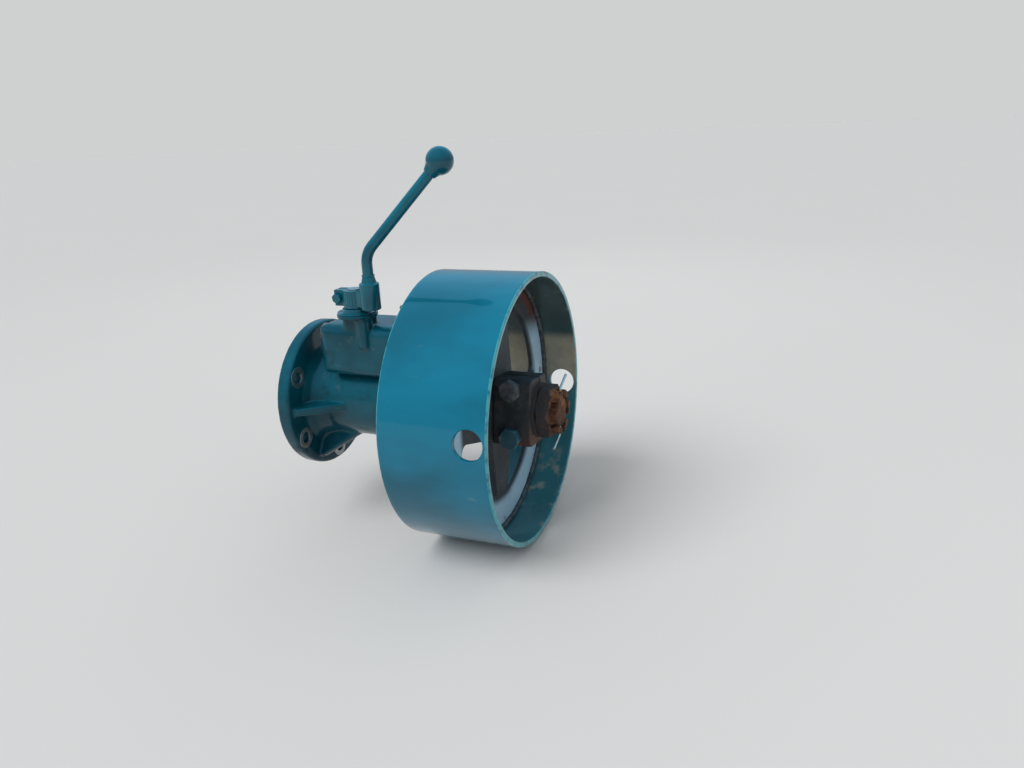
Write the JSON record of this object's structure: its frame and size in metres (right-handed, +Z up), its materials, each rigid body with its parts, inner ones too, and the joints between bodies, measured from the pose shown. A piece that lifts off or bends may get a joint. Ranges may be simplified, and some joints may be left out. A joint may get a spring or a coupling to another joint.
{
  "type": "tractor belt pulley drive",
  "caption": "Side-mounted belt pulley drive of a vintage farm tractor, with its housing, wide drum pulley, clamp hub, bevel input gear and ball-ended engagement lever.",
  "frame": {"origin": "centre of the mounting flange's face, on the pulley shaft's axis", "axes": "+X outboard along the pulley shaft, +Y towards the tractor's rear, +Z up"},
  "size_m": [0.367, 0.31, 0.4442],
  "materials": {
    "teal_paint": "gloss",
    "dark_casting": "rough",
    "rusted_steel": "rough",
    "bare_steel": "machined",
    "seal_rubber": "matte"
  },
  "bodies": {
    "housing": {"drive_housing": "teal_paint", "bearing_cover": "teal_paint", "cover_bolts": "bare_steel", "shaft_seal": "seal_rubber", "filler_plug": "bare_steel", "drain_plug": "bare_steel", "turret_plate": "teal_paint"},
    "pulley": {"output_shaft": "rusted_steel", "spacer_ring": "bare_steel", "pulley_rim": "teal_paint", "pulley_spider": "dark_casting", "pulley_hub": "dark_casting", "web_welds": "dark_casting", "hub_cap": "dark_casting", "hub_bolts": "dark_casting", "nut_washer": "rusted_steel", "castle_nut": "rusted_steel", "split_pin": "bare_steel"},
    "input": {"input_shaft": "bare_steel", "bevel_gear": "bare_steel", "gear_nut": "bare_steel"},
    "lever": {"selector_spindle": "bare_steel", "lever_eye": "teal_paint", "eye_bolt": "bare_steel", "lever_rod": "teal_paint", "ball_knob": "teal_paint"}
  },
  "joints": [
    {"name": "pulley_spin", "type": "hinge", "parent": "housing", "child": "pulley", "pos_m": [0.23, 0, 0], "axis": [1, 0, 0], "continuous": true},
    {"name": "input_spin", "type": "hinge", "parent": "housing", "child": "input", "pos_m": [0, 0, 0], "axis": [1, 0, 0], "continuous": true},
    {"name": "lever_swing", "type": "hinge", "parent": "housing", "child": "lever", "pos_m": [0.093, -0.044, 0.12], "axis": [0, 0, 1], "range_deg": [0, 35]}
  ]
}
